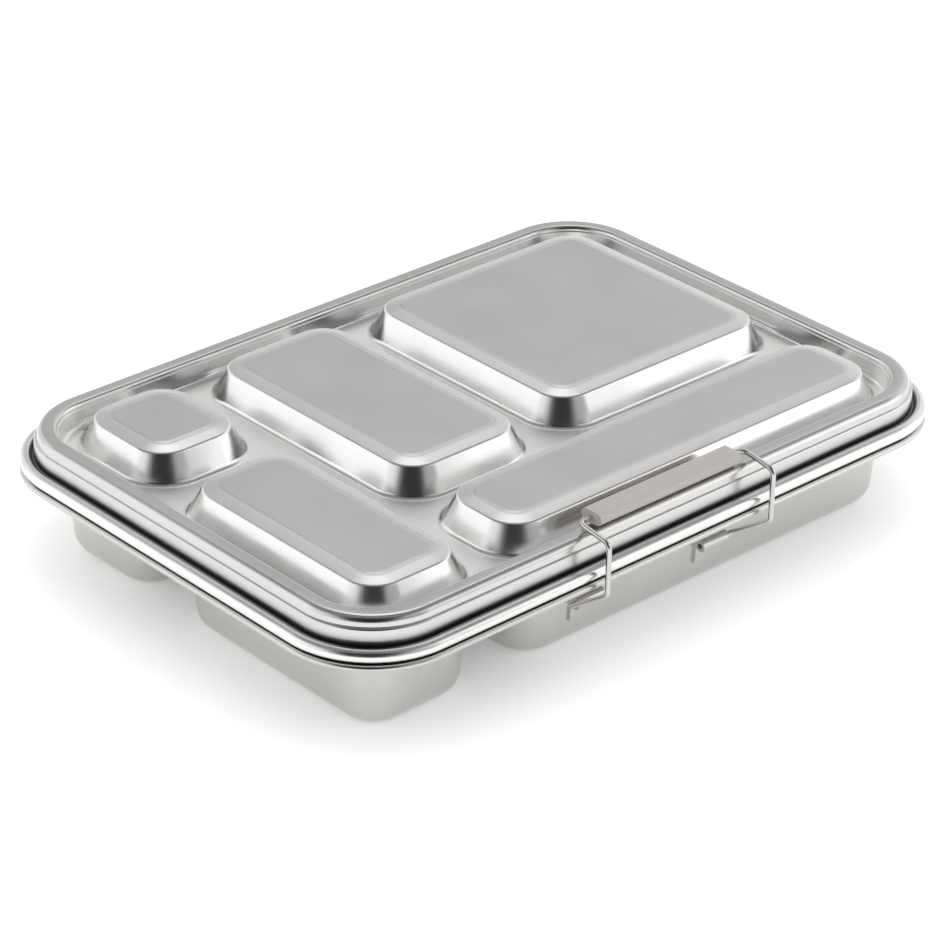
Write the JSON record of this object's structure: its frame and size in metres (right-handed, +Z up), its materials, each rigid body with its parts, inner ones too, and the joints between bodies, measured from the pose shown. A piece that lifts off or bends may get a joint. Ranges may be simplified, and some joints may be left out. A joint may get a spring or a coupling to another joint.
{
  "type": "lunch box",
  "caption": "Steel compartment lunch box with raised domes on a hinged lid and a swinging wire latch with a soft grip.",
  "frame": {"origin": "on the table under the middle of the box, level with the undersides of the compartments", "axes": "+Z up, +X along the long latch side to the right when facing the latch, latch on the -Y side, rear hinges on the +Y side"},
  "size_m": [0.2594, 0.1924, 0.0496],
  "materials": {
    "steel_sheet": "satin",
    "steel_wire": "polished",
    "soft_grip": "matte"
  },
  "bodies": {
    "base": {"tray": "steel_sheet", "latch_bracket_left": "steel_sheet", "latch_bracket_right": "steel_sheet", "tray_hinge_left": "steel_sheet", "tray_hinge_right": "steel_sheet", "hinge_pin_left": "steel_wire", "hinge_pin_right": "steel_wire"},
    "lid": {"lid": "steel_sheet", "lid_hinge_left": "steel_sheet", "lid_hinge_right": "steel_sheet"},
    "latch": {"latch_bail": "steel_wire", "latch_sleeve": "soft_grip"}
  },
  "joints": [
    {"name": "lid_hinge", "type": "hinge", "parent": "base", "child": "lid", "pos_m": [0, 0.0943, 0.0317], "axis": [-1, 0, 0], "range_deg": [0, 180]},
    {"name": "latch_swing", "type": "hinge", "parent": "base", "child": "latch", "pos_m": [0, -0.07889, 0.0166], "axis": [1, 0, 0], "range_deg": [0, 85]}
  ]
}
